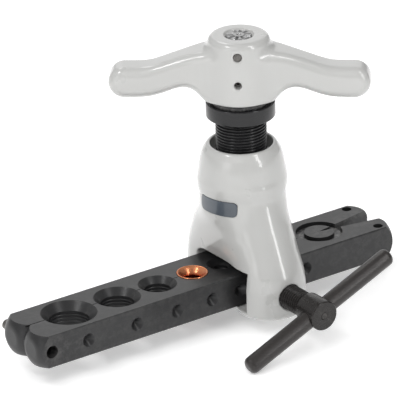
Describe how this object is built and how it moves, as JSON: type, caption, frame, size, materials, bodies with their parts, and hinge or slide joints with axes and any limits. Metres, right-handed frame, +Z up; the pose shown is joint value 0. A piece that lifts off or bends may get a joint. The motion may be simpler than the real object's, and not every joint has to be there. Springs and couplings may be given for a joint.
{
  "type": "flaring tool",
  "caption": "Screw-fed flaring tool: split die bar with countersunk tube holes, slip-on painted yoke, T-handle cone spindle and tommy-bar clamp screw.",
  "frame": {"origin": "where the spindle axis meets the clamp screw axis, in the 1/4 in die hole at mid-height of the die bar", "axes": "+X along the die bar towards its pivot, +Z up the spindle to the T-handle, -Y towards the clamp screw head"},
  "size_m": [0.203, 0.1041, 0.1399],
  "materials": {
    "paint": "gloss enamel over casting",
    "die_steel": "black oxide, ground",
    "ring_steel": "black oxide",
    "pin_steel": "oiled steel",
    "copper": "bright drawn copper",
    "label": "plain unlettered film plate",
    "black_screw": "black phosphate, oiled",
    "tommy_steel": "black oxide",
    "bronze": "sintered bronze",
    "spindle_steel": "turned steel",
    "polished_steel": "polished hardened steel",
    "spring_steel": "spring wire"
  },
  "bodies": {
    "yoke_body": {"yoke": "paint", "label_plate": "label"},
    "die_rear_body": {"die_half_rear": "die_steel", "hinge_ring_top": "ring_steel", "hinge_ring_bottom": "ring_steel", "stop_pin": "pin_steel", "end_pin_rear": "pin_steel", "copper_tube": "copper"},
    "die_front_body": {"die_half_front": "die_steel", "end_pin_front": "pin_steel"},
    "feed_carrier": {"spindle_thrust_washer": "spindle_steel"},
    "sleeve_body": {"feed_sleeve": "black_screw", "sleeve_bush_upper": "bronze", "sleeve_bush_lower": "bronze", "clutch_race_ring": "black_screw"},
    "handle_body": {"t_handle": "paint", "eccentric_spindle": "spindle_steel", "handle_cross_pin": "pin_steel", "handle_grub_screw": "pin_steel", "clutch_balls": "polished_steel", "clutch_springs": "spring_steel", "cone_bush": "bronze", "cone_thrust_ball": "polished_steel"},
    "cone_body": {"flaring_cone": "polished_steel", "cone_snap_ring": "spring_steel"},
    "clamp_carrier": {"clamp_point": "spindle_steel"},
    "clamp_screw_body": {"clamp_screw": "black_screw", "tommy_friction_plug": "tommy_steel"},
    "tommy_body": {"tommy_bar": "tommy_steel"}
  },
  "joints": [
    {"name": "bar_slide", "type": "slide", "parent": "yoke_body", "child": "die_rear_body", "axis": [1, 0, 0], "range_m": [-0.0438, 0.0993]},
    {"name": "die_open", "type": "hinge", "parent": "die_rear_body", "child": "die_front_body", "pos_m": [0.0438, 0, 0], "axis": [0, 0, -1], "range_deg": [-7, 0]},
    {"name": "spindle_feed", "type": "slide", "parent": "yoke_body", "child": "feed_carrier", "axis": [0, 0, -1], "range_m": [-0.012, 0.005]},
    {"name": "sleeve_turn", "type": "hinge", "parent": "feed_carrier", "child": "sleeve_body", "pos_m": [0, 0, 0.06], "axis": [0, 0, -1], "range_deg": [-2882, 1202]},
    {"name": "handle_slip", "type": "hinge", "parent": "sleeve_body", "child": "handle_body", "pos_m": [0, 0, 0.1], "axis": [0, 0, -1], "continuous": true},
    {"name": "cone_spin", "type": "hinge", "parent": "handle_body", "child": "cone_body", "pos_m": [0.00078, -0.00063, 0.03], "axis": [0, 0, -1], "continuous": true},
    {"name": "clamp_feed", "type": "slide", "parent": "yoke_body", "child": "clamp_carrier", "axis": [0, 1, 0], "range_m": [-0.002, 0.0104]},
    {"name": "clamp_turn", "type": "hinge", "parent": "clamp_carrier", "child": "clamp_screw_body", "pos_m": [0, -0.03, 0], "axis": [0, 1, 0], "range_deg": [-482, 2498]},
    {"name": "tommy_slide", "type": "slide", "parent": "clamp_screw_body", "child": "tommy_body", "axis": [0.9239, 0, 0.3827], "range_m": [-0.034, 0.034]}
  ],
  "couplings": [
    {"joint": "sleeve_turn", "follows": "spindle_feed", "rad_per_m": 4188.8},
    {"joint": "clamp_turn", "follows": "clamp_feed", "rad_per_m": 4188.8}
  ]
}
